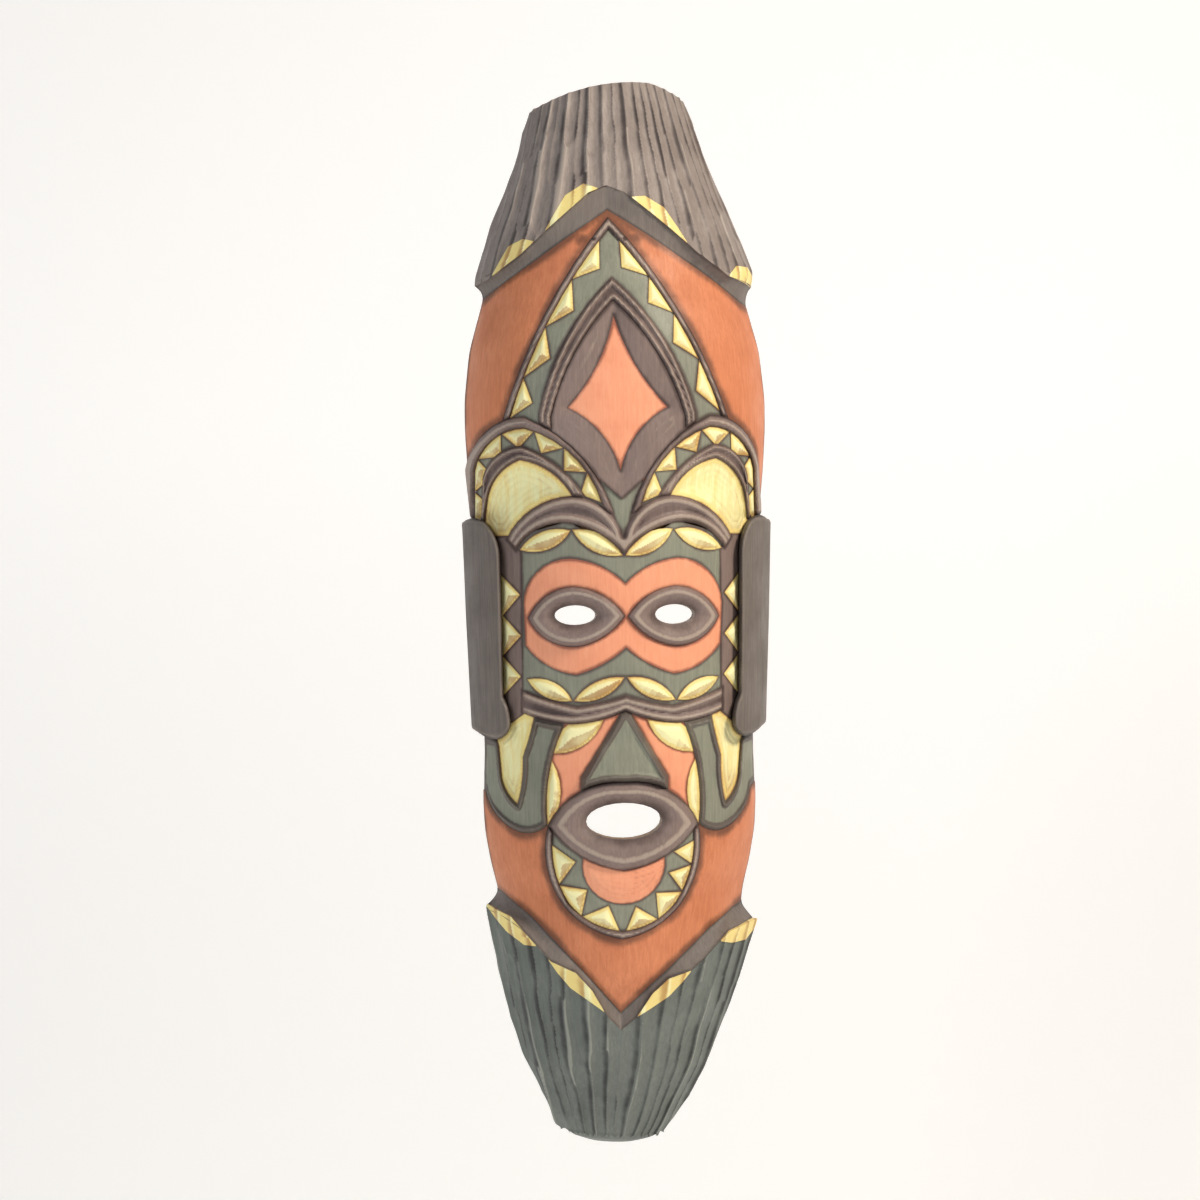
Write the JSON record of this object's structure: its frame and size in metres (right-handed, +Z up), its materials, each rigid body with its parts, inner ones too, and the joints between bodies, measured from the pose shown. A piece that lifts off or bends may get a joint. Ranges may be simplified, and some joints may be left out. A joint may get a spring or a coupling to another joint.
{
  "type": "carved wall mask",
  "caption": "Long half-round carved wooden face mask, hollow behind, with cut-through eyes and mouth, painted relief, gouged crown and beard, and a keyhole hanger.",
  "frame": {"origin": "middle of the hanger's keyhole opening, in the plane of the flat back that rests on the wall", "axes": "+X to the viewer's right, +Y back into the wall, +Z up along the length of the mask"},
  "size_m": [0.182, 0.069, 0.6104],
  "materials": {
    "skin_paint": "orange wash rubbed over vertical grain, satin",
    "salmon_paint": "salmon pink paint, satin",
    "cream_paint": "cream paint with brown shading in the cuts, satin",
    "ground_paint": "grey green paint over visible grain, satin",
    "ridge_paint": "grey brown paint worn pale along the crests, satin",
    "crown_paint": "grey brown paint over gouge cuts, satin",
    "beard_paint": "slate grey paint over gouge cuts, satin",
    "ear_paint": "charcoal paint over vertical grain, satin",
    "rim_paint": "dark grey paint, satin",
    "steel": "plain zinc plated steel"
  },
  "bodies": {
    "root": {"head_shell": "skin_paint", "crown": "crown_paint", "crown_rim": "rim_paint", "crown_tips": "cream_paint", "forehead_edge": "ridge_paint", "forehead_ground": "ground_paint", "forehead_teeth": "cream_paint", "forehead_ridges": "ridge_paint", "star_bevel": "ridge_paint", "forehead_star": "salmon_paint", "brow_valley": "ground_paint", "brow_arch_left": "ridge_paint", "brow_arch_right": "ridge_paint", "brow_teeth": "cream_paint", "brow_ground": "ground_paint", "brow_band_left": "ridge_paint", "brow_band_right": "ridge_paint", "brow_crescent_left": "cream_paint", "brow_crescent_right": "cream_paint", "eyebrow_ridge": "ridge_paint", "eye_ground_upper": "ground_paint", "upper_leaves": "cream_paint", "eye_band": "salmon_paint", "eye_rim_left": "ridge_paint", "eye_rim_right": "ridge_paint", "eye_ground_lower": "ground_paint", "lower_leaves": "cream_paint", "under_eye_ridge": "ridge_paint", "temple_left": "ridge_paint", "temple_right": "ridge_paint", "temple_teeth": "cream_paint", "ear_left": "ear_paint", "ear_right": "ear_paint", "nose": "ground_paint", "cheek_panel_left": "salmon_paint", "cheek_panel_right": "salmon_paint", "cheek_leaves": "cream_paint", "cheek_band_left": "ground_paint", "cheek_band_right": "ground_paint", "cheek_wedge_left": "cream_paint", "cheek_wedge_right": "cream_paint", "mouth_rim": "ridge_paint", "chin_edge": "ridge_paint", "chin_ground": "ground_paint", "chin_teeth": "cream_paint", "tongue": "salmon_paint", "beard_rim": "rim_paint", "beard": "beard_paint", "beard_tips": "cream_paint", "hanger_plate": "steel", "hanger_screws": "steel"}
  },
  "joints": []
}
